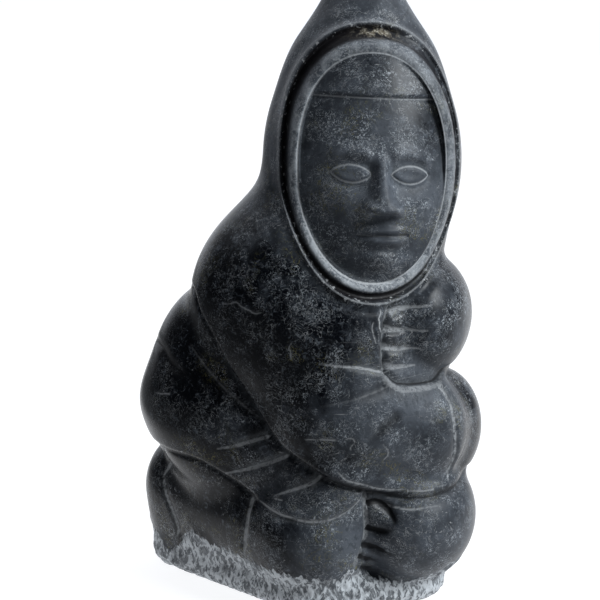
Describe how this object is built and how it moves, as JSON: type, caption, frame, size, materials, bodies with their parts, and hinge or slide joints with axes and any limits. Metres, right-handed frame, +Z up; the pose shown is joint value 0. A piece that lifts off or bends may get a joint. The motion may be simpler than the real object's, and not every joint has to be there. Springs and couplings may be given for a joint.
{
  "type": "soapstone sculpture",
  "caption": "Carved soapstone figure kneeling in a pointed parka hood with folded arms, on a low bed of chiselled snow, all one stone.",
  "frame": {"origin": "middle of the bounding box, on the flat underside", "axes": "+Z up the figure, -Y the side that the face looks out of, +X to the right of someone facing it"},
  "size_m": [0.1392, 0.1162, 0.2549],
  "materials": {
    "soapstone": "dark blue-grey soapstone, hand-polished, with dusty grooves and a rough pale foot"
  },
  "bodies": {
    "root": {"carved_figure": "soapstone"}
  },
  "joints": []
}
